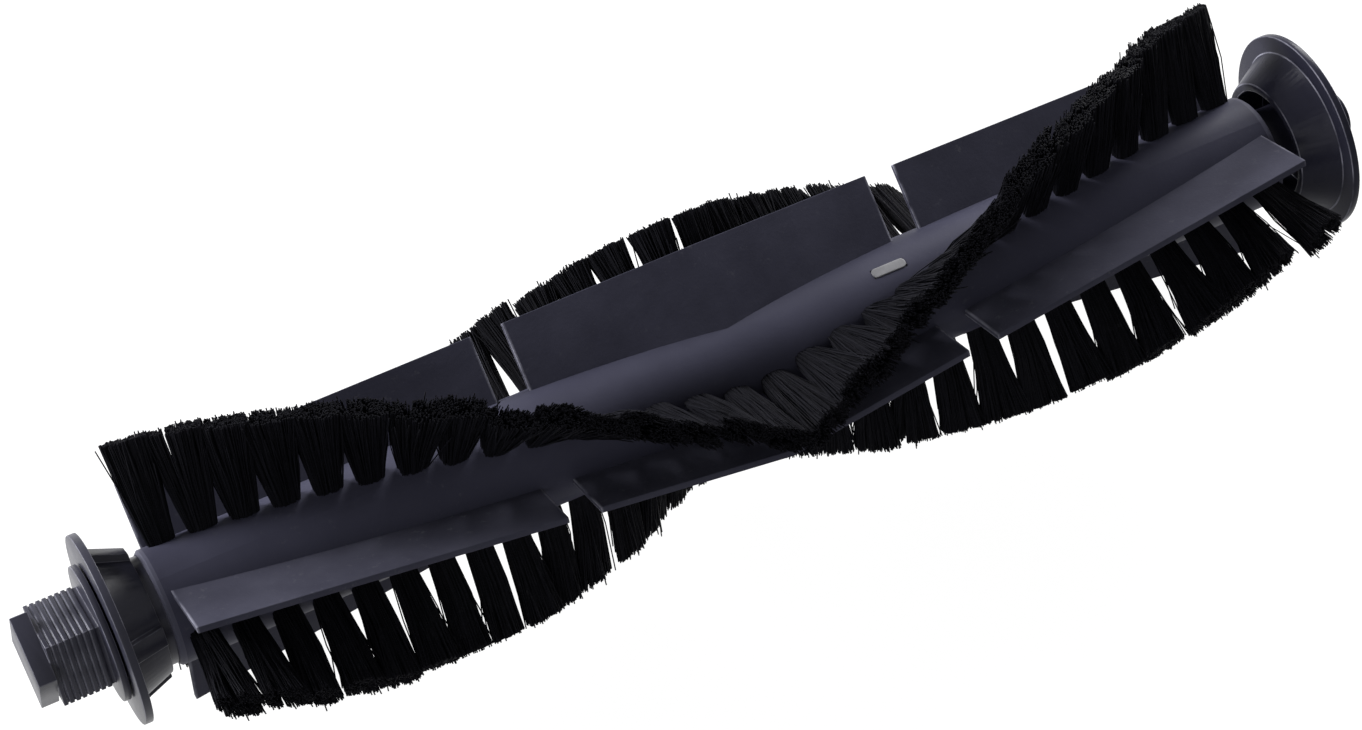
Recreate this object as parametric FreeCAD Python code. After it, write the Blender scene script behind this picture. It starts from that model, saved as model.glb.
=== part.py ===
import FreeCAD, Part
import math
import os

# Roller brush of a robot vacuum, in millimetres.
# X runs along the spin axis from the drive end to the idler end, Z is up.
# The origin is on the axis, at the outer face of the drive flange.
# Angles round the axis are in degrees, from +Z towards +Y.

V = FreeCAD.Vector

# Overall
SPAN = 179.0             # between the outer faces of the two flanges
DRIVE_FLANGE_R = 12.9
IDLER_FLANGE_R = 14.2
FLANGE_T = 1.1

# Core
CORE_R = 7.85
DRIVE_GAP = 7.0          # from the drive flange's outer face to the core
IDLER_GAP = 8.0          # from the core to the idler flange's outer face
CORE_CHAMFER = 0.4

# Tufts
ROWS = 3
TUFT_PITCH = 5.42        # wanted spacing along the axis
TUFT_END_GAP = 3.6       # from the middle of the last tuft to the end of the core
TUFT_SWEEP = 109.0       # angle that a row climbs from its middle to its ends
HOLE_FLOOR_R = 4.0
ROOT_LONG = 2.1          # size of a hole's floor along the axis
ROOT_WIDE = 1.8          # and across it
TIP_R = 22.3
TIP_LONG = 5.0           # size of a tuft's tip along the axis
TIP_WIDE = 3.3           # and across it
ANCHOR_T = 0.35          # flat wire at the bottom of each hole
ANCHOR_HIGH = 0.9
ANCHOR_CLEAR = 0.02

# Blades
BLADE_T = 0.9
BLADE_TURN = -54.0       # direction of the first row of blades
BLADE_TIP = 16.9         # height of a blade's edge above the axis
BLADE_ROOT = 2.4
FOOT_HIGH = 0.8
FOOT_WIDE = 1.8
OFFSET_MIDDLE = -5.6     # sideways place of a blade at the middle of the roller
OFFSET_END = 4.6         # and at its outer end
BLADE_END_GAP = 1.6      # from a blade's outer end to the end of the core
MIDDLE_HALF = 27.0       # half length of a middle blade
BLADE_GAP = 4.4

# Drive end
SPIGOT_R = 2.8
SPIGOT_LONG = 10.0
SPIGOT_FLAT = 2.2
NECK_R = 7.3
NECK_LONG = 1.2
COLLAR_R_OUT = 9.8
COLLAR_R_IN = 8.1
COLLAR_RIBS = 4
RIB_WIDE = 2.6
RIB_STAND_OUT = 1.05     # height of a rib over the collar, at the flange
RIB_STAND_IN = 0.85      # and at the neck
RIB_TURN = 42.5
GUARD_R = 9.2
GUARD_T = 0.9
GUARD_GAP = 0.3
GUARD_NECK_R = 6.5
PLUG_GAP = 0.4           # from the guard to the first fin
PLUG_SIDE = 9.7
PLUG_GROOVE = 0.18
PLUG_LONG = 6.7
PLUG_FINS = 8
FIN_SHARE = 0.7
PLUG_TURN = 27.5
TIP_SIDE = 9.7
TIP_DEEP = 2.4
TIP_TURN = -8.6

# Idler end
CONE_MOUTH_GAP = 2.1     # open gap between the core and the cone's mouth
CONE_R_MOUTH = 9.0
CONE_R_DISC = 11.8
CONE_WALL = 1.1          # at the mouth
HUB_R = 5.0
HUB_CLEAR = 0.3
BOSS_R = 3.4
BOSS_LONG = 6.0
BUSH_R = 2.3
PIN_R = 1.5
PIN_CLEAR = 0.05
PIN_DEEP = 12.0
HEAD_R = 2.2
HEAD_T = 0.8
HEAD_PLAY = 0.2
HEAD_POCKET_R = 2.6
HEAD_POCKET_DEEP = 2.4

# Pale pad let into the core
PAD_LONG = 5.0
PAD_WIDE = 1.5
PAD_DEEP = 1.2
PAD_STAND = 0.12
PAD_X = 23.6             # from the middle of the roller
PAD_TURN = 8.0

CORE_X0 = DRIVE_GAP
CORE_X1 = SPAN - IDLER_GAP
MID = (CORE_X0 + CORE_X1) / 2.0
CORE_HALF = (CORE_X1 - CORE_X0) / 2.0
BLADE_END = CORE_HALF - BLADE_END_GAP
ROW_HALF = CORE_HALF - TUFT_END_GAP
SIDE_TUFTS = round(ROW_HALF / TUFT_PITCH + 0.5)
ROW_NAMES = "abc"


def frame_point(x, height, side, angle):
    turn = math.radians(angle)
    y = height * math.sin(turn) + side * math.cos(turn)
    z = height * math.cos(turn) - side * math.sin(turn)
    return V(x, y, z)


def rod(x0, x1, radius):
    return Part.makeCylinder(radius, x1 - x0, V(x0, 0, 0), V(1, 0, 0))


def cone(x0, x1, r0, r1):
    return Part.makeCone(r0, r1, x1 - x0, V(x0, 0, 0), V(1, 0, 0))


def square(x0, x1, side, angle):
    half = side / 2.0
    plan = ((half, half), (half, -half), (-half, -half), (-half, half))
    corners = [frame_point(x0, h, k, angle) for h, k in plan]
    face = Part.Face(Part.makePolygon(corners + corners[:1]))
    return face.extrude(V(x1 - x0, 0, 0))


def box_at(x0, x1, low, high, wide, angle):
    half = wide / 2.0
    plan = ((low, -half), (low, half), (high, half), (high, -half))
    corners = [frame_point(x0, h, k, angle) for h, k in plan]
    face = Part.Face(Part.makePolygon(corners + corners[:1]))
    return face.extrude(V(x1 - x0, 0, 0))


def solid_of(faces):
    made = [Part.Face(Part.makePolygon(list(f) + [f[0]])) for f in faces]
    shape = Part.Solid(Part.Shell(made))
    if shape.Volume < 0:
        shape.reverse()
    return shape


def hexagon(x, radius, angle):
    share = (radius - HOLE_FLOOR_R) / (TIP_R - HOLE_FLOOR_R)
    long = (ROOT_LONG + (TIP_LONG - ROOT_LONG) * share) / 2.0
    wide = (ROOT_WIDE + (TIP_WIDE - ROOT_WIDE) * share) / 2.0
    inner = long - wide / math.sqrt(3.0)
    plan = ((long, 0), (inner, wide), (-inner, wide), (-long, 0), (-inner, -wide), (inner, -wide))
    return [frame_point(x + u, radius, v, angle) for u, v in plan]


def fan(x, angle, low_r):
    low = hexagon(x, low_r, angle)
    high = hexagon(x, TIP_R, angle)
    faces = [low, high]
    for i in range(len(low)):
        j = (i + 1) % len(low)
        faces.append([low[i], low[j], high[j], high[i]])
    return solid_of(faces)


def make_anchor(x, angle):
    half = ANCHOR_T / 2.0
    top = HOLE_FLOOR_R + ANCHOR_HIGH
    return box_at(x - half, x + half, HOLE_FLOOR_R, top, ROOT_WIDE - ANCHOR_CLEAR, angle)


def tuft_places(row):
    for i in range(SIDE_TUFTS):
        share = (i + 0.5) / (SIDE_TUFTS - 0.5)
        angle = TUFT_SWEEP * (share - 0.5) + 360.0 * row / ROWS
        yield MID - ROW_HALF * share, angle
        yield MID + ROW_HALF * share, angle


def blade_side(along):
    return OFFSET_MIDDLE + (OFFSET_END - OFFSET_MIDDLE) * abs(along) / BLADE_END


def strip(stations, low, high, wide, angle):
    half = wide / 2.0
    upper = [frame_point(MID + s, low, blade_side(s) + half, angle) for s in stations]
    lower = [frame_point(MID + s, low, blade_side(s) - half, angle) for s in reversed(stations)]
    outline = upper + lower
    face = Part.Face(Part.makePolygon(outline + outline[:1]))
    return face.extrude(frame_point(0, high - low, 0, angle))


def make_blade(stations, angle):
    web = strip(stations, BLADE_ROOT, BLADE_TIP, BLADE_T, angle)
    foot = strip(stations, BLADE_ROOT, BLADE_ROOT + FOOT_HIGH, FOOT_WIDE, angle)
    return web.fuse(foot).removeSplitter()


def make_pad():
    x = MID + PAD_X
    half = PAD_LONG / 2.0
    return box_at(x - half, x + half, CORE_R - PAD_DEEP, CORE_R + PAD_STAND, PAD_WIDE, PAD_TURN)


def make_rib(x0, x1, angle):
    half = RIB_WIDE / 2.0
    profile = ((x0, 0), (x1, 0), (x1, COLLAR_R_IN + RIB_STAND_IN), (x0, COLLAR_R_OUT + RIB_STAND_OUT))
    corners = [frame_point(x, h, -half, angle) for x, h in profile]
    face = Part.Face(Part.makePolygon(corners + corners[:1]))
    return face.extrude(frame_point(0, 0, RIB_WIDE, angle))


def make_spigot():
    bar = rod(CORE_X0, CORE_X0 + SPIGOT_LONG, SPIGOT_R)
    keep = box_at(CORE_X0, CORE_X0 + SPIGOT_LONG, -SPIGOT_R, SPIGOT_FLAT, 2.0 * SPIGOT_R, 0)
    return bar.common(keep)


def make_drive_end():
    collar_x1 = CORE_X0 - NECK_LONG
    collar = cone(FLANGE_T, collar_x1, COLLAR_R_OUT, COLLAR_R_IN)
    pieces = [collar, rod(collar_x1, CORE_X0, NECK_R), make_spigot()]
    for i in range(COLLAR_RIBS):
        pieces.append(make_rib(FLANGE_T, collar_x1, RIB_TURN + 360.0 * i / COLLAR_RIBS))
    pieces.append(rod(-GUARD_GAP, 0, GUARD_NECK_R))
    guard_x = -GUARD_GAP - GUARD_T
    pieces.append(rod(guard_x, -GUARD_GAP, GUARD_R))
    plug_x = guard_x - PLUG_GAP - PLUG_LONG
    pieces.append(square(plug_x, guard_x, PLUG_SIDE - 2.0 * PLUG_GROOVE, PLUG_TURN))
    pitch = PLUG_LONG / PLUG_FINS
    for i in range(PLUG_FINS):
        x = plug_x + pitch * i
        pieces.append(square(x, x + pitch * FIN_SHARE, PLUG_SIDE, PLUG_TURN))
    pieces.append(square(plug_x - TIP_DEEP, plug_x, TIP_SIDE, TIP_TURN))
    return rod(0, FLANGE_T, DRIVE_FLANGE_R).multiFuse(pieces).removeSplitter()


def make_idler_end():
    mouth = CORE_X1 + CONE_MOUTH_GAP
    disc_in = SPAN - FLANGE_T
    boss_end = SPAN + BOSS_LONG
    cavity = rod(mouth, disc_in, CONE_R_MOUTH - CONE_WALL)
    shell = cone(mouth, disc_in, CONE_R_MOUTH, CONE_R_DISC).cut(cavity)
    hub = rod(CORE_X1 + HUB_CLEAR, disc_in, HUB_R)
    boss = rod(SPAN, boss_end, BOSS_R)
    body = rod(disc_in, SPAN, IDLER_FLANGE_R).multiFuse([shell, hub, boss]).removeSplitter()
    pocket = rod(boss_end - HEAD_POCKET_DEEP, boss_end, HEAD_POCKET_R)
    bore = rod(CORE_X1 + HUB_CLEAR, boss_end, BUSH_R)
    return body.cut(pocket).cut(bore)


def make_bush():
    x0 = CORE_X1 + HUB_CLEAR
    x1 = SPAN + BOSS_LONG - HEAD_POCKET_DEEP
    return rod(x0, x1, BUSH_R).cut(rod(x0, x1, PIN_R + PIN_CLEAR))


def make_pin():
    head_x = SPAN + BOSS_LONG - HEAD_POCKET_DEEP + HEAD_PLAY
    shank = rod(CORE_X1 - PIN_DEEP, head_x, PIN_R)
    return shank.fuse(rod(head_x, head_x + HEAD_T, HEAD_R)).removeSplitter()


def save(name, shape):
    shape.exportStep("parts/" + name + ".step")


os.makedirs("parts", exist_ok=True)

blades = {}
inner = MIDDLE_HALF + BLADE_GAP
runs = {
    "left": (-BLADE_END, -inner),
    "middle": (-MIDDLE_HALF, 0.0, MIDDLE_HALF),
    "right": (inner, BLADE_END),
}
for r in range(ROWS):
    turn = BLADE_TURN + 360.0 * r / ROWS
    for side, stations in runs.items():
        blades["blade_" + ROW_NAMES[r] + "_" + side] = make_blade(stations, turn)

holes = []
tuft_rows = []
anchor_rows = []
for r in range(ROWS):
    places = list(tuft_places(r))
    holes += [fan(x, angle, HOLE_FLOOR_R) for x, angle in places]
    tuft_rows.append(Part.makeCompound([fan(x, angle, HOLE_FLOOR_R + ANCHOR_HIGH) for x, angle in places]))
    anchor_rows.append(Part.makeCompound([make_anchor(x, angle) for x, angle in places]))

pad = make_pad()
core = rod(CORE_X0, CORE_X1, CORE_R)
rims = [e for e in core.Edges if len(e.Vertexes) == 1]
core = core.makeChamfer(CORE_CHAMFER, rims)
core = core.cut(make_spigot()).cut(rod(CORE_X1 - PIN_DEEP, CORE_X1, PIN_R)).cut(pad)
core = core.cut(list(blades.values()))
core = core.cut(holes)

save("roller_core", core)
save("index_pad", pad)
save("drive_end_cap", make_drive_end())
save("idler_end_cap", make_idler_end())
save("bearing_bush", make_bush())
save("axle_pin", make_pin())
for name, shape in blades.items():
    save(name, shape)
for r in range(ROWS):
    save("bristle_row_" + ROW_NAMES[r], tuft_rows[r])
    save("tuft_anchors_" + ROW_NAMES[r], anchor_rows[r])
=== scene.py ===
# %% [markdown]
# # Roller brush of a robot vacuum
# The brush is a slim dark core with three V-shaped rows of nylon tufts, three rows of flat
# rubber blades between them, a ribbed drive plug at one end and a free-turning cap at the other.
# The solids come from the imported part and stay where they are. This lesson dresses them:
# every tuft becomes a bundle of single strands, moulded edges get a small radius, and each
# material gets its grain. First the part is loaded and its box is kept for the floor.

# %% Load the imported part
import math
import random

import bmesh
import bpy
from mathutils import Matrix, Vector


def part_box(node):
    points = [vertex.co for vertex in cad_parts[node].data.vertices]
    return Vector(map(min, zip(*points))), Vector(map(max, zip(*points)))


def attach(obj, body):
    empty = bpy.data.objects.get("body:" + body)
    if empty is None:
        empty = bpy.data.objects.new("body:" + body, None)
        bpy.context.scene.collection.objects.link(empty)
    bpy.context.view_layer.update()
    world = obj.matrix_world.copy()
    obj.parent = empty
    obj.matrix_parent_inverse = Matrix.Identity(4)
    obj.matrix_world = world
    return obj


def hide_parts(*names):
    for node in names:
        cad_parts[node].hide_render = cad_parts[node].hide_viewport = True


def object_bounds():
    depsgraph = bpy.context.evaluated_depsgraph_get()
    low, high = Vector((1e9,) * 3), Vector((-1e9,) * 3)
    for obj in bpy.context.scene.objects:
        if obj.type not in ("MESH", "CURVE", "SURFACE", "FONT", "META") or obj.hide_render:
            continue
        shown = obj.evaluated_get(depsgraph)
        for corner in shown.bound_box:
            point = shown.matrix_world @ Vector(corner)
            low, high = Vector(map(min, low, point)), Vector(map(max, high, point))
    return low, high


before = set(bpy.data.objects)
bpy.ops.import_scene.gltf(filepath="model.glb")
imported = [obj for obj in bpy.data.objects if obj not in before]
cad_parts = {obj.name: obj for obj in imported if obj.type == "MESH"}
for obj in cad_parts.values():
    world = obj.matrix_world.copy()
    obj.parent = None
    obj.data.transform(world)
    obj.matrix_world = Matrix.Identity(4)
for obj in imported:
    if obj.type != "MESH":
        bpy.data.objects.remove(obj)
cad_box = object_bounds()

MM = 0.001
scene = bpy.context.scene
scene.view_settings.view_transform = "Standard"


def in_mm(box):
    return [[round(value / MM, 1) for value in corner] for corner in box]


print("nodes:", len(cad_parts), "box in mm:", in_mm(cad_box))

# %% [markdown]
# ## Camera
# The brush lies across the picture, seen from above and a little from its drive end.
# A long lens keeps the two ends nearly the same size. The camera could be turned by hand until
# it fits, but here its place, aim, lens and roll are four plain values, so they can be read.

# %% Camera
CAMERA_PLACE = Vector((-43.65, -185.26, 411.19)) * MM
CAMERA_AIM = Vector((82.88, 2.70, 1.24)) * MM
CAMERA_ROLL = math.radians(7.881)
CAMERA_LENS = 93.61          # in millimetres, as the sensor's width is
SENSOR_WIDE = 36.0
UP = Vector((0, 0, 1))

back = (CAMERA_PLACE - CAMERA_AIM).normalized()
level = UP.cross(back).normalized()
right = level * math.cos(CAMERA_ROLL) + back.cross(level) * math.sin(CAMERA_ROLL)
lens = bpy.data.cameras.new("camera")
lens.sensor_fit = "HORIZONTAL"
lens.sensor_width = SENSOR_WIDE
lens.lens = CAMERA_LENS
camera = bpy.data.objects.new("camera", lens)
facing = Matrix((right, back.cross(right), back)).transposed()
camera.matrix_world = Matrix.Translation(CAMERA_PLACE) @ facing.to_4x4()
scene.collection.objects.link(camera)
scene.camera = camera
print("camera distance in mm:", round((CAMERA_PLACE - CAMERA_AIM).length / MM, 1))

# %% [markdown]
# ## Helpers for shader nodes
# Every finish below is a small tree of nodes. They could be joined by hand in the editor, but
# the same few steps come back in each tree, so each step is a helper: one adds a node and sets
# its sockets by name, and the others calculate, mix two colours, stretch a band of values onto
# another, or make noise that is fixed to the object's own coordinates.

# %% Helpers that add nodes
def set_sockets(node, values):
    for name, value in values.items():
        node.inputs[name.replace("_", " ")].default_value = value
    return node


def add_node(tree, kind, **sockets):
    return set_sockets(tree.nodes.new(kind), sockets)


def object_noise(tree, **sockets):
    spot = tree.nodes.new("ShaderNodeTexCoord")
    made = add_node(tree, "ShaderNodeTexNoise", **sockets)
    tree.links.new(spot.outputs["Object"], made.inputs["Vector"])
    return made


print("a node is added with its sockets set by name")

# %% Helpers that work on values and colours
FULL_BAND = 0.0, 1.0


def calculate(tree, operation, *values):
    made = tree.nodes.new("ShaderNodeMath")
    made.operation = operation
    for value, socket in zip(values, made.inputs):
        if isinstance(value, float):
            socket.default_value = value
        else:
            tree.links.new(value, socket)
    return made.outputs["Value"]


def mix_colours(tree, mask, first, second):
    made = tree.nodes.new("ShaderNodeMix")
    made.data_type = "RGBA"
    tree.links.new(mask, made.inputs["Factor"])
    for name, colour in (("A", first), ("B", second)):
        if isinstance(colour, tuple):
            made.inputs[name].default_value = (*colour, 1.0)
        else:
            tree.links.new(colour, made.inputs[name])
    return made.outputs["Result"]


def spread(tree, value, band, onto=FULL_BAND):
    made = add_node(tree, "ShaderNodeMapRange", From_Min=band[0], From_Max=band[1],
                    To_Min=onto[0], To_Max=onto[1])
    tree.links.new(value, made.inputs["Value"])
    return made.outputs["Result"]


print("values are spread onto", FULL_BAND, "unless another band is given")

# %% [markdown]
# ## Floor and light
# The picture has a plain white ground. A white floor lit by lamps alone would need so much light
# that the dark plastic would turn grey, so the floor and the world show white only where they are
# seen directly or in a reflection, and the lamps stay at a level at which a colour renders about
# as it is written. The two main lamps stand low behind the brush, left and right: faces that look
# up and away are lit, and faces that look at the camera stay dark. A weak lamp in front fills in.

# %% Floor sheet
FLOOR_HALF = 1.5
FLOOR_SQUARES = 4
BRUSH_MIDDLE = Vector((90.0, 0.0, 0.0)) * MM

shape = bmesh.new()
bmesh.ops.create_grid(shape, x_segments=FLOOR_SQUARES, y_segments=FLOOR_SQUARES, size=FLOOR_HALF)
bmesh.ops.translate(shape, verts=shape.verts, vec=BRUSH_MIDDLE + UP * cad_box[0].z)
sheet = bpy.data.meshes.new("floor")
shape.to_mesh(sheet)
shape.free()
floor = bpy.data.objects.new("floor", sheet)
scene.collection.objects.link(floor)
print("floor at z in mm:", round(cad_box[0].z / MM, 2))

# %% Floor material
WHITE = 1.0, 1.0, 1.0, 1.0
BOUNCE_DARK = 0.42, 0.42, 0.42
BOUNCE_LIGHT = 0.48, 0.48, 0.48
FLOOR_SHADE = 0.20           # share of the floor's look that the lamps and shadows make
FLOOR_GLOW = 0.95


def seen_directly(tree):
    path = tree.nodes.new("ShaderNodeLightPath")
    either = calculate(tree, "MAXIMUM", path.outputs["Is Camera Ray"], path.outputs["Is Glossy Ray"])
    return calculate(tree, "MAXIMUM", either, path.outputs["Is Transmission Ray"])


def switch_when_seen(tree, unseen, seen):
    made = tree.nodes.new("ShaderNodeMixShader")
    for source, socket in zip((seen_directly(tree), unseen.outputs[0], seen.outputs[0]), made.inputs):
        tree.links.new(source, socket)
    return made.outputs["Shader"]


paper = bpy.data.materials.new("pale_floor")
paper.use_nodes = True
tree = paper.node_tree
tree.nodes.clear()
cloud = object_noise(tree, Scale=14.0, Detail=2.0)
bounce = add_node(tree, "ShaderNodeBsdfDiffuse")
tree.links.new(mix_colours(tree, cloud.outputs["Fac"], BOUNCE_DARK, BOUNCE_LIGHT), bounce.inputs["Color"])
shade = add_node(tree, "ShaderNodeBsdfDiffuse", Color=(FLOOR_SHADE, FLOOR_SHADE, FLOOR_SHADE, 1.0))
glow = add_node(tree, "ShaderNodeEmission", Color=WHITE, Strength=FLOOR_GLOW)
lit = tree.nodes.new("ShaderNodeAddShader")
for source, socket in zip((shade, glow), lit.inputs):
    tree.links.new(source.outputs[0], socket)
surface = tree.nodes.new("ShaderNodeOutputMaterial")
tree.links.new(switch_when_seen(tree, bounce, lit), surface.inputs["Surface"])
sheet.materials.append(paper)
print("floor material:", paper.name)

# %% World and lamps
SKY_LIGHT = 0.13             # what the world sheds on the brush
SKY_SEEN = 1.0
LAMPS = {
    "back_left": {"place": (-0.57, 0.66, 0.27), "size": 0.46, "watts": 17.5},
    "back_right": {"place": (0.75, 0.66, 0.27), "size": 0.46, "watts": 14.0},
    "fill": {"place": (-0.55, -0.45, 0.50), "size": 0.60, "watts": 2.60},
}

world = bpy.data.worlds.new("white_room")
scene.world = world
world.use_nodes = True
tree = world.node_tree
tree.nodes.clear()
dim = add_node(tree, "ShaderNodeBackground", Color=WHITE, Strength=SKY_LIGHT)
bright = add_node(tree, "ShaderNodeBackground", Color=WHITE, Strength=SKY_SEEN)
sky = tree.nodes.new("ShaderNodeOutputWorld")
tree.links.new(switch_when_seen(tree, dim, bright), sky.inputs["Surface"])

for name, lamp in LAMPS.items():
    light = bpy.data.lights.new(name, "AREA")
    light.size = lamp["size"]
    light.energy = lamp["watts"]
    holder = bpy.data.objects.new(name, light)
    holder.location = lamp["place"]
    aim = BRUSH_MIDDLE - holder.location
    holder.rotation_euler = aim.to_track_quat("-Z", "Y").to_euler()
    scene.collection.objects.link(holder)
print("lamps:", list(LAMPS))

# %% [markdown]
# ## Shared effects
# Moulded plastic and rubber are never one flat colour. Three effects are used by several
# materials, so each is a node group: the fine grain and soft clouds of a moulded skin, the pale
# dust that settles on dark parts, and a pale line along an edge, which is partly wear from handling
# and partly a painted highlight where the rounded edge catches the light.
# The edge line reads an attribute named edge, which the softened pieces below carry. Noise keeps
# near its middle value, so each effect spreads a band of it onto the full range from 0 to 1.

# %% Helpers for node groups
def new_group(name, inputs, outputs):
    group = bpy.data.node_groups.new(name, "ShaderNodeTree")
    for labels, way in ((inputs, "INPUT"), (outputs, "OUTPUT")):
        for label in labels:
            group.interface.new_socket(name=label, in_out=way, socket_type="NodeSocketFloat")
    return group, group.nodes.new("NodeGroupInput"), group.nodes.new("NodeGroupOutput")


def group_noise(group, scale, band, **sockets):
    noise = object_noise(group, **sockets)
    group.links.new(scale, noise.inputs["Scale"])
    return spread(group, noise.outputs["Fac"], band)


def place_group(tree, group, **sockets):
    made = tree.nodes.new("ShaderNodeGroup")
    made.node_tree = group
    return set_sockets(made, sockets)


print("a group's inputs and outputs are single values")

# %% Node groups
GRAIN_BAND = 0.20, 0.80
CLOUD_BAND = 0.36, 0.66
SPECK_BAND = 0.60, 0.74
PATCH_BAND = 0.42, 0.70
BREAK_BAND = 0.30, 0.62

skin, given, out = new_group("moulded_skin", ("Grain Scale", "Cloud Scale"), ("Grain", "Cloud"))
for effect, band in (("Grain", GRAIN_BAND), ("Cloud", CLOUD_BAND)):
    mask = group_noise(skin, given.outputs[effect + " Scale"], band, Detail=4.0, Roughness=0.62)
    skin.links.new(mask, out.inputs[effect])

dust, given, out = new_group("settled_dust", ("Speck Scale", "Patch Scale"), ("Dust",))
specks = group_noise(dust, given.outputs["Speck Scale"], SPECK_BAND, Detail=3.0, Roughness=0.7)
patches = group_noise(dust, given.outputs["Patch Scale"], PATCH_BAND, Detail=3.0, Roughness=0.7)
dust.links.new(calculate(dust, "MULTIPLY", specks, patches), out.inputs["Dust"])

# pale line along edges: partly rubbing wear, partly a painted highlight where edges catch the light
rub_and_highlight, given, out = new_group("rubbed_and_highlighted_edge", ("Break Scale",), ("Rub And Highlight",))
breaks = group_noise(rub_and_highlight, given.outputs["Break Scale"], BREAK_BAND, Detail=3.0)
line = rub_and_highlight.nodes.new("ShaderNodeAttribute")
line.attribute_name = "edge"
rub_and_highlight.links.new(calculate(rub_and_highlight, "MULTIPLY", breaks, line.outputs["Fac"]), out.inputs["Rub And Highlight"])
print("effects:", [group.name for group in (skin, dust, rub_and_highlight)])

# %% [markdown]
# ## Moulded finishes
# The core, the blades and both end caps are dark blue-grey mouldings that differ in gloss:
# the rubber of the blades is matt, the core is satin and the idler cap shines a little. One row
# of blades gets a paler copy of the rubber, painted light that makes it look more lit than the
# others. The pad and the bush are pale plastic.
# Each could have a tree of its own, but one recipe makes them all from two body colours, a range
# of roughness, a depth of grain and how strongly dust and the pale edge line show, which is part wear and
# part painted highlight.

# %% Recipe of a moulded finish
DUST_COLOUR = 0.20, 0.20, 0.21
# colour of the pale edge line: partly rubbing wear, partly a painted highlight
PALE_EDGE_RUB_AND_HIGHLIGHT = 0.22, 0.22, 0.27


def new_material(name):
    material = bpy.data.materials.new(name)
    material.use_nodes = True
    return material, material.node_tree, material.node_tree.nodes["Principled BSDF"]


def add_bump(tree, body, height, strength, depth):
    bump = add_node(tree, "ShaderNodeBump", Strength=strength, Distance=depth)
    tree.links.new(height, bump.inputs["Height"])
    tree.links.new(bump.outputs["Normal"], body.inputs["Normal"])


def moulded(name, dark, light, cloud_scale, rough, shine, grain_scale, grain_depth, dusty, rubbed_and_highlighted,
            edge_rub_and_highlight_colour=PALE_EDGE_RUB_AND_HIGHLIGHT):
    material, tree, body = new_material(name)
    face = place_group(tree, skin, Grain_Scale=grain_scale, Cloud_Scale=cloud_scale)
    specks = place_group(tree, dust, Speck_Scale=900.0, Patch_Scale=70.0)
    edges = place_group(tree, rub_and_highlight, Break_Scale=260.0)
    dust_mask = calculate(tree, "MULTIPLY", specks.outputs["Dust"], dusty)
    edge_rub_and_highlight_mask = calculate(tree, "MULTIPLY", edges.outputs["Rub And Highlight"], rubbed_and_highlighted)
    colour = mix_colours(tree, face.outputs["Cloud"], dark, light)
    colour = mix_colours(tree, dust_mask, colour, DUST_COLOUR)
    # the pale edge line is partly wear and partly a painted highlight
    colour = mix_colours(tree, edge_rub_and_highlight_mask, colour, edge_rub_and_highlight_colour)
    tree.links.new(colour, body.inputs["Base Color"])
    tree.links.new(spread(tree, face.outputs["Cloud"], FULL_BAND, rough), body.inputs["Roughness"])
    body.inputs["Specular IOR Level"].default_value = shine
    add_bump(tree, body, face.outputs["Grain"], strength=0.6, depth=grain_depth)
    return material


print("dust and edge colours:", DUST_COLOUR, PALE_EDGE_RUB_AND_HIGHLIGHT)

# %% Dark mouldings
core_skin = moulded(
    "satin_core", dark=(0.037, 0.037, 0.057), light=(0.046, 0.046, 0.070), cloud_scale=60.0,
    rough=(0.45, 0.55), shine=0.05, grain_scale=1500.0, grain_depth=0.02 * MM, dusty=0.14, rubbed_and_highlighted=0.5)
blade_rubber = moulded(
    "matt_rubber", dark=(0.025, 0.025, 0.038), light=(0.035, 0.035, 0.052), cloud_scale=110.0,
    rough=(0.60, 0.75), shine=0.03, grain_scale=2100.0, grain_depth=0.03 * MM, dusty=0.20, rubbed_and_highlighted=0.9)
# a paler copy of the blade rubber: painted light for one row of blades
painted_lit_rubber = moulded(
    "painted_lit_rubber", dark=(0.044, 0.044, 0.064), light=(0.062, 0.062, 0.087), cloud_scale=90.0,
    rough=(0.62, 0.78), shine=0.03, grain_scale=2100.0, grain_depth=0.03 * MM, dusty=0.35, rubbed_and_highlighted=0.9)
drive_skin = moulded(
    "satin_drive_end", dark=(0.023, 0.023, 0.035), light=(0.029, 0.029, 0.043), cloud_scale=60.0,
    rough=(0.28, 0.38), shine=0.15, grain_scale=1700.0, grain_depth=0.02 * MM, dusty=0.12, rubbed_and_highlighted=0.6)
# the idler's edge line is paler still: a painted highlight along the rims of its cone and flange
idler_skin = moulded(
    "gloss_idler_end", dark=(0.019, 0.019, 0.031), light=(0.025, 0.025, 0.040), cloud_scale=60.0,
    rough=(0.24, 0.32), shine=0.05, grain_scale=1300.0, grain_depth=0.01 * MM, dusty=0.05, rubbed_and_highlighted=0.9,
    edge_rub_and_highlight_colour=(0.26, 0.26, 0.32))
dark_skins = core_skin, blade_rubber, painted_lit_rubber, drive_skin, idler_skin
print("dark finishes:", [material.name for material in dark_skins])

# %% Pale mouldings
pad_skin = moulded(
    "pale_pad", dark=(0.13, 0.13, 0.14), light=(0.18, 0.18, 0.19), cloud_scale=400.0,
    rough=(0.40, 0.55), shine=0.20, grain_scale=1900.0, grain_depth=0.02 * MM, dusty=0.1, rubbed_and_highlighted=0.2,
    edge_rub_and_highlight_colour=(0.24, 0.24, 0.25))
bush_skin = moulded(
    "turned_bush", dark=(0.48, 0.47, 0.43), light=(0.58, 0.57, 0.53), cloud_scale=300.0,
    rough=(0.35, 0.50), shine=0.45, grain_scale=2500.0, grain_depth=0.01 * MM, dusty=0.1, rubbed_and_highlighted=0.2,
    edge_rub_and_highlight_colour=(0.66, 0.65, 0.60))
print("pale finishes:", [material.name for material in (pad_skin, bush_skin)])

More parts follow.
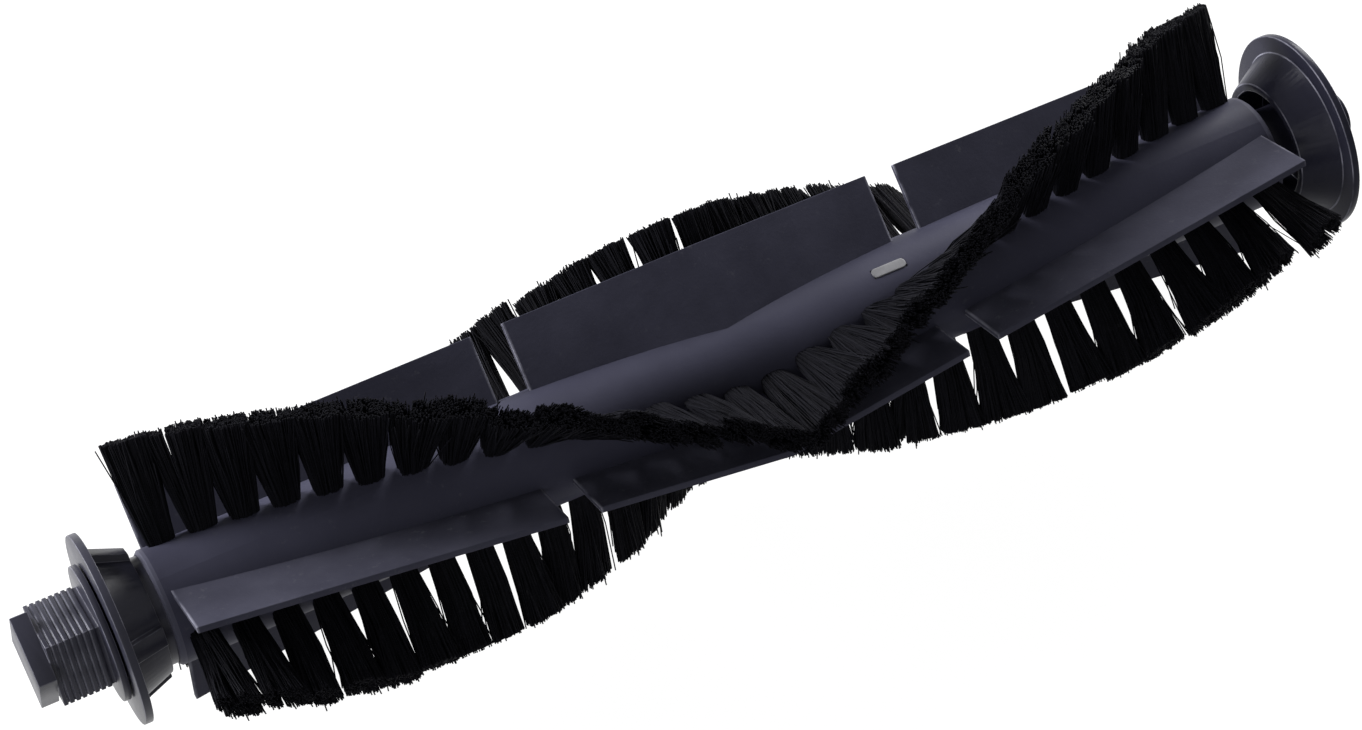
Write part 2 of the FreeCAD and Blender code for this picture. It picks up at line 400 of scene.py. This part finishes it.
# %% [markdown]
# ## Steel
# The axle pin is drawn steel wire with a formed head, and the wires that hold the tufts are steel
# too. An even noise would look cast. Drawing leaves streaks along the pin, so a Mapping node
# stretches the noise along X before it sets colour, roughness and bump.

# %% Steel material
STEEL_DARK = 0.50, 0.50, 0.51
STEEL_LIGHT = 0.68, 0.68, 0.68
STEEL_ROUGH = 0.24, 0.42
STREAK_SCALE = 60.0, 2400.0, 2400.0          # few streaks in a metre along X, many across it
STREAK_BAND = 0.3, 0.7
STREAK_DEPTH = 0.01 * MM

steel, tree, body = new_material("drawn_steel")
body.inputs["Metallic"].default_value = 1.0
spot = tree.nodes.new("ShaderNodeTexCoord")
stretch = add_node(tree, "ShaderNodeMapping", Scale=STREAK_SCALE)
noise = add_node(tree, "ShaderNodeTexNoise", Scale=1.0, Detail=3.0)
tree.links.new(spot.outputs["Object"], stretch.inputs["Vector"])
tree.links.new(stretch.outputs["Vector"], noise.inputs["Vector"])
streaks = noise.outputs["Fac"]
tree.links.new(mix_colours(tree, streaks, STEEL_DARK, STEEL_LIGHT), body.inputs["Base Color"])
tree.links.new(spread(tree, streaks, STREAK_BAND, STEEL_ROUGH), body.inputs["Roughness"])
add_bump(tree, body, streaks, strength=0.3, depth=STREAK_DEPTH)
print("metal finish:", steel.name)

# %% [markdown]
# ## Nylon
# Bristles are nylon strands, almost black, with a faint shine. Strands from one spool still differ
# a little. A noise could vary them, but it would run across neighbours, so every strand carries
# its own number in an attribute named tone, and the material turns it into a slightly lighter or
# darker strand. Soft clouds vary the roughness, and a little dust lies on top.

# %% Nylon material
NYLON_DARK = 0.0034, 0.0034, 0.0046
NYLON_LIGHT = 0.0080, 0.0080, 0.0108
NYLON_ROUGH = 0.50, 0.66
NYLON_SHINE = 0.035
NYLON_DUSTY = 0.08
LINT_COLOUR = 0.14, 0.14, 0.15

nylon, tree, body = new_material("nylon_strands")
tone = tree.nodes.new("ShaderNodeAttribute")
tone.attribute_name = "tone"
face = place_group(tree, skin, Cloud_Scale=160.0)
specks = place_group(tree, dust, Speck_Scale=700.0, Patch_Scale=90.0)
lint = calculate(tree, "MULTIPLY", specks.outputs["Dust"], NYLON_DUSTY)
colour = mix_colours(tree, tone.outputs["Fac"], NYLON_DARK, NYLON_LIGHT)
colour = mix_colours(tree, lint, colour, LINT_COLOUR)
tree.links.new(colour, body.inputs["Base Color"])
tree.links.new(spread(tree, face.outputs["Cloud"], FULL_BAND, NYLON_ROUGH), body.inputs["Roughness"])
body.inputs["Specular IOR Level"].default_value = NYLON_SHINE
print("strand finish:", nylon.name)

# %% [markdown]
# ## Tufts
# Each tuft is a bundle of nylon strands, folded over a flat wire in a hole of the core and cut to
# length in one go. It is tight at the hole and fans out to its tip, where strands gather in small
# clumps. In row a the neighbours run into each other. In rows b and c they just meet at their
# tips. Hair particles could do this, but they don't export, so half a row is one curve object with
# a three-point spline for each strand and a thin four-sided bevel, made into a mesh at the end.
# The places come from the row's box in the frame.

# %% Where the tufts stand
ROW_NAMES = "abc"
SIDE_TUFTS = 15              # on each side of the roller's middle
ROW_SWEEP = math.radians(109.0)              # round the core, from a row's middle to its ends
TIP_LONG = 5.0 * MM          # of a packed tuft, along X
TIP_R = 22.3 * MM
ROW_LEAN = ((0.5 * MM, -1.8 * MM), (0.0, 0.0), (-0.6 * MM, -0.7 * MM))      # along X and across it
END_LEAN = 0.6 * MM, -1.3 * MM, 0.6 * MM     # of a row's last tufts, outwards


def tuft_places(row, side):
    low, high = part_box("bristle_row_" + ROW_NAMES[row])
    middle = (low.x + high.x) / 2
    half = (high.x - low.x - TIP_LONG) / 2
    slant = side * ROW_SWEEP * TIP_R / half
    for i in range(SIDE_TUFTS):
        share = (i + 0.5) / (SIDE_TUFTS - 0.5)
        turn = ROW_SWEEP * (share - 0.5) + math.tau * row / len(ROW_NAMES)
        along, across = ROW_LEAN[row]
        if i == SIDE_TUFTS - 1:
            along = side * END_LEAN[row]
        yield middle + side * half * share, turn, along, across, slant


print("tuft next to the middle of row a:", [round(v, 3) for v in next(tuft_places(0, 1))])

# %% Line of one strand
SEED = 41
CORE_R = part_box("roller_core")[1].z
ROOT_DEEP = 1.2 * MM         # strands start this far below the core's surface
ROOT_R = CORE_R - ROOT_DEEP
FLARE = 1.1, 1.9, 1.9        # for each row: above one, a tuft opens mostly near its tip
BOW = 0.20 * MM
KNOTS = 0.0, 0.5, 1.0        # shares of a strand's length
dice = random.Random(SEED)


def strand_points(row, x, turn, root, tip, length):
    out_way = Vector((0, math.sin(turn), math.cos(turn)))
    side_way = Vector((0, math.cos(turn), -math.sin(turn)))
    reach = min(length, math.sqrt(TIP_R ** 2 - tip[1] ** 2))
    bow = dice.gauss(0, BOW), dice.gauss(0, BOW)
    for share in KNOTS:
        opened = share ** FLARE[row]
        bent = math.sin(math.pi * share)
        along, aside = [r + (t - r) * opened + b * bent for r, t, b in zip(root, tip, bow)]
        out = ROOT_R + (reach - ROOT_R) * share
        yield Vector((x + along, 0, 0)) + out_way * out + side_way * aside


print("strands run from radius", round(ROOT_R / MM, 2), "to", round(TIP_R / MM, 2), "mm")

# %% Where a strand stands and ends in its tuft
BUNDLE_ROUND = 0.6           # 0 gives a square bundle, 1 a round one
CLUMP_PULL = 0.20            # share of the way from a strand's own place to its clump
CUT_BACK = 0.25 * MM         # most strands end this far inside the longest ones
END_SPREAD = 0.16 * MM
SHORT_SHARE = 0.03
SHORT_BY = 1.0 * MM, 5.0 * MM
LONG_SHARE = 0.03


def bundle_point():
    a = dice.uniform(-1, 1)
    return a, dice.uniform(-1, 1) * math.sqrt(1 - BUNDLE_ROUND * a * a)


def drawn(own, clump):
    return (1 - CLUMP_PULL) * own + CLUMP_PULL * clump


def cut_length(cut):
    kind = dice.random()
    if kind < SHORT_SHARE:
        return cut - dice.uniform(*SHORT_BY)
    if kind < SHORT_SHARE + LONG_SHARE:
        return cut + CUT_BACK
    return cut - abs(dice.gauss(0, END_SPREAD))


print("short strands:", SHORT_SHARE, "long strands:", LONG_SHARE)

# %% Strands of one tuft
STRANDS = 530
CLUMPS = 6
ROOT_LONG = 3.3 * MM
ROOT_WIDE = 2.4 * MM
FAN_LONG = 6.6 * MM, 5.4 * MM, 5.4 * MM      # in rows b and c neighbours just meet at their tips
FAN_WIDE = 4.2 * MM
OPENING = 0.90, 1.10         # the least and most that a tuft opens, as a factor
LEAN_SPREAD = 0.42 * MM, 0.40 * MM           # along X and across it, from tuft to tuft
WEAR = 0.0, 0.3 * MM, 0.8 * MM               # rows b and c are worn a little shorter
CUT_SPREAD = 0.2 * MM
STRAY = 0.15 * MM
FAR_STRAY = 0.75 * MM        # of the few hairs that stand off
FAR_SHARE = 0.04


def tuft_strands(row, x, turn, along, across, slant):
    opening = dice.uniform(*OPENING)
    lean = along + dice.gauss(0, LEAN_SPREAD[0]), across + dice.gauss(0, LEAN_SPREAD[1])
    cut = TIP_R - CUT_BACK - WEAR[row] - abs(dice.gauss(0, CUT_SPREAD))
    clumps = [bundle_point() for _ in range(CLUMPS)]
    for _ in range(STRANDS):
        a, b = bundle_point()
        root = a * ROOT_LONG / 2, b * ROOT_WIDE / 2
        near = min(clumps, key=lambda c: (c[0] - a) ** 2 + (c[1] - b) ** 2)
        stray = STRAY if dice.random() > FAR_SHARE else FAR_STRAY
        fan = drawn(a, near[0]) * opening * FAN_LONG[row] / 2
        swell = drawn(b, near[1]) * opening * FAN_WIDE / 2
        tip = fan + lean[0] + dice.gauss(0, stray), fan * slant + swell + lean[1] + dice.gauss(0, stray)
        yield list(strand_points(row, x, turn, root, tip, cut_length(cut)))


print("strands in a row:", STRANDS * 2 * SIDE_TUFTS)

# %% Two meshes for each row
STRAND_R = 0.090 * MM


def strand_mesh(name, row, side):
    curve = bpy.data.curves.new(name + "_path", "CURVE")
    curve.dimensions = "3D"
    curve.bevel_depth = STRAND_R
    curve.bevel_resolution = 0
    curve.use_fill_caps = True
    for place in tuft_places(row, side):
        for points in tuft_strands(row, *place):
            spline = curve.splines.new("POLY")
            spline.points.add(len(points) - 1)
            for knot, point in zip(spline.points, points):
                knot.co = (*point, 1.0)
    path = bpy.data.objects.new(name + "_path", curve)
    scene.collection.objects.link(path)
    graph = bpy.context.evaluated_depsgraph_get()
    mesh = bpy.data.meshes.new_from_object(path.evaluated_get(graph))
    each = len(mesh.vertices) // len(curve.splines)
    tones = [dice.random() for _ in curve.splines]
    mark = mesh.attributes.new("tone", "FLOAT", "POINT")
    mark.data.foreach_set("value", [tones[i // each] for i in range(len(mesh.vertices))])
    bpy.data.objects.remove(path)
    return mesh


def plant_half(row, side):
    node = "bristle_row_" + ROW_NAMES[row]
    name = node + ("_left" if side < 0 else "_right")
    mesh = strand_mesh(name, row, side)
    mesh.materials.clear()
    mesh.materials.append(nylon)
    piece = bpy.data.objects.new(name + "_strands", mesh)
    scene.collection.objects.link(piece)
    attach(piece, "roller")
    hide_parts(node)
    mesh.calc_loop_triangles()
    return len(mesh.loop_triangles)


halves = [(row, side) for row in range(len(ROW_NAMES)) for side in (-1, 1)]
print("triangles in each half row:", [plant_half(row, side) for row, side in halves])

# %% [markdown]
# ## Blades
# The blades are strips of dark rubber, cut straight and pushed into slots of the core. They could
# be drawn anew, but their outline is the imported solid's, so a copy of that mesh is the start: its
# doubles are merged, flat triangles are joined again, and the edges get a small radius that
# catches the light. Each wide face is then inset, so that the attribute edge can fall from one at
# the rim to nothing further in. On a piece without a rim, only the rounded edges carry it.

# %% Helpers that shape a softened copy
MERGE = 0.002 * MM
FLAT = math.radians(0.5)     # faces that meet at less than this are joined
WIDE_FACE = 20.0             # a face is inset if it is larger than this many squares of the rim


def merged_copy(node):
    shape = bmesh.new()
    shape.from_mesh(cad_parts[node].data)
    bmesh.ops.remove_doubles(shape, verts=shape.verts, dist=MERGE)
    bmesh.ops.dissolve_limit(shape, angle_limit=FLAT, verts=shape.verts, edges=shape.edges)
    return shape


def round_off(shape, edges, radius, steps):
    made = bmesh.ops.bevel(shape, geom=edges, offset=radius, offset_type="OFFSET", segments=steps,
                           profile=0.5, affect="EDGES", material=-1, clamp_overlap=True)
    return made["faces"]


def fade_from_rim(shape, mark, rim):
    for vert in shape.verts:
        vert[mark] = 1.0
    wide = [f for f in shape.faces if f.calc_area() > rim * rim * WIDE_FACE]
    bmesh.ops.inset_region(shape, faces=wide, thickness=rim, use_even_offset=True, use_boundary=True)
    for face in wide:
        for vert in face.verts:
            vert[mark] = 0.0


print("points nearer than", round(MERGE / MM, 4), "mm are merged")

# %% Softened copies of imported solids
SHARP = math.radians(28.0)   # edges that bend more than this get a radius
CREASE = math.radians(40.0)  # and edges that still bend more than this are shaded as a crease
UPRIGHT = 0.9                # least part along Z of the direction of an upright edge
EDGE_STEPS = 2
CORNER_STEPS = 5


def finish_piece(shape, name, body, material, node):
    for face in shape.faces:
        face.smooth = True
    mesh = bpy.data.meshes.new(name)
    shape.to_mesh(mesh)
    shape.free()
    mesh.set_sharp_from_angle(angle=CREASE)
    mesh.materials.append(material)
    piece = bpy.data.objects.new(name, mesh)
    scene.collection.objects.link(piece)
    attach(piece, body)
    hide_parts(node)
    return piece


def is_upright(edge):
    first, second = edge.verts
    return abs((first.co - second.co).normalized().z) > UPRIGHT


def softened(node, name, body, material, radius, rim=0, corner=0):
    shape = merged_copy(node)
    mark = (shape.verts if rim else shape.faces).layers.float.new("edge")
    if corner:
        round_off(shape, [e for e in shape.edges if is_upright(e)], corner, CORNER_STEPS)
    bent = [e for e in shape.edges if e.is_manifold and e.calc_face_angle() > SHARP]
    rounded = round_off(shape, bent, radius, EDGE_STEPS)
    if rim:
        fade_from_rim(shape, mark, rim)
    else:
        for face in rounded:
            face[mark] = 1.0
    return finish_piece(shape, name, body, material, node)


print("edges that bend more than", round(math.degrees(SHARP)), "degrees get a radius")

# %% Blades
BLADE_RADIUS = 0.10 * MM
BLADE_RIM = 0.25 * MM
# this row of blades gets the paler rubber, painted light that makes it look more lit
PAINTED_LIT_ROW = "a"
blades = []
for row in ROW_NAMES:
    rubber = painted_lit_rubber if row == PAINTED_LIT_ROW else blade_rubber
    for side in ("left", "middle", "right"):
        node = "blade_" + row + "_" + side
        blades.append(softened(node, node + "_rubber", "roller", rubber, BLADE_RADIUS, BLADE_RIM))
print("blades:", len(blades), "faces in each:", [len(blade.data.polygons) for blade in blades])

# %% [markdown]
# ## Core, pad and end caps
# The core's shape is right as packed, so its node only gets a finish. The rims at the two ends of
# its barrel catch the light, and a band along Object X paints that highlight there without a new piece.
# The bush, the axle pin and the wires in the tuft holes keep their imported shape too. The caps and
# the pad are softened copies, as the blades are, because every moulded edge has a small radius.
# The pad's upright corners are rounded first, with a larger radius.

# %% Core and hidden pieces
# paler bands at the barrel's end rims: a painted highlight where the chamfers catch the light
RING_REACH = 0.45 * MM
RING_HIGHLIGHT_COLOUR = 0.075, 0.075, 0.105
BARREL_SLACK = 0.1 * MM      # points this near to the core's radius are on its barrel


def paint_ring_highlights(material, places):
    tree = material.node_tree
    paint = tree.nodes["Principled BSDF"].inputs["Base Color"]
    spot = tree.nodes.new("ShaderNodeTexCoord")
    axes = tree.nodes.new("ShaderNodeSeparateXYZ")
    tree.links.new(spot.outputs["Object"], axes.inputs["Vector"])
    for place in places:
        near = calculate(tree, "COMPARE", axes.outputs["X"], place, RING_REACH)
        tree.links.new(mix_colours(tree, near, paint.links[0].from_socket, RING_HIGHLIGHT_COLOUR), paint)


barrel = [v.co.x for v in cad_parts["roller_core"].data.vertices
          if math.hypot(v.co.y, v.co.z) > CORE_R - BARREL_SLACK]
# paints the highlight of the two end rims into the core's colour
paint_ring_highlights(core_skin, (min(barrel), max(barrel)))
finishes = {"roller_core": core_skin, "bearing_bush": bush_skin, "axle_pin": steel}
for row in ROW_NAMES:
    finishes["tuft_anchors_" + row] = steel
for node, finish in finishes.items():
    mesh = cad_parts[node].data
    mesh.materials.clear()
    mesh.materials.append(finish)
print("dressed nodes:", list(finishes))

# %% Pad and end caps
PAD_RADIUS = 0.08 * MM
PAD_RIM = 0.15 * MM
PAD_CORNER = 0.6 * MM
DRIVE_RADIUS = 0.10 * MM
IDLER_RADIUS = 0.12 * MM
pad = softened("index_pad", "index_pad_insert", "roller", pad_skin, PAD_RADIUS, PAD_RIM, PAD_CORNER)
drive = softened("drive_end_cap", "drive_end_moulding", "roller", drive_skin, DRIVE_RADIUS)
idler = softened("idler_end_cap", "idler_end_moulding", "idler_cap", idler_skin, IDLER_RADIUS)
print("faces:", {piece.name: len(piece.data.polygons) for piece in (pad, drive, idler)})
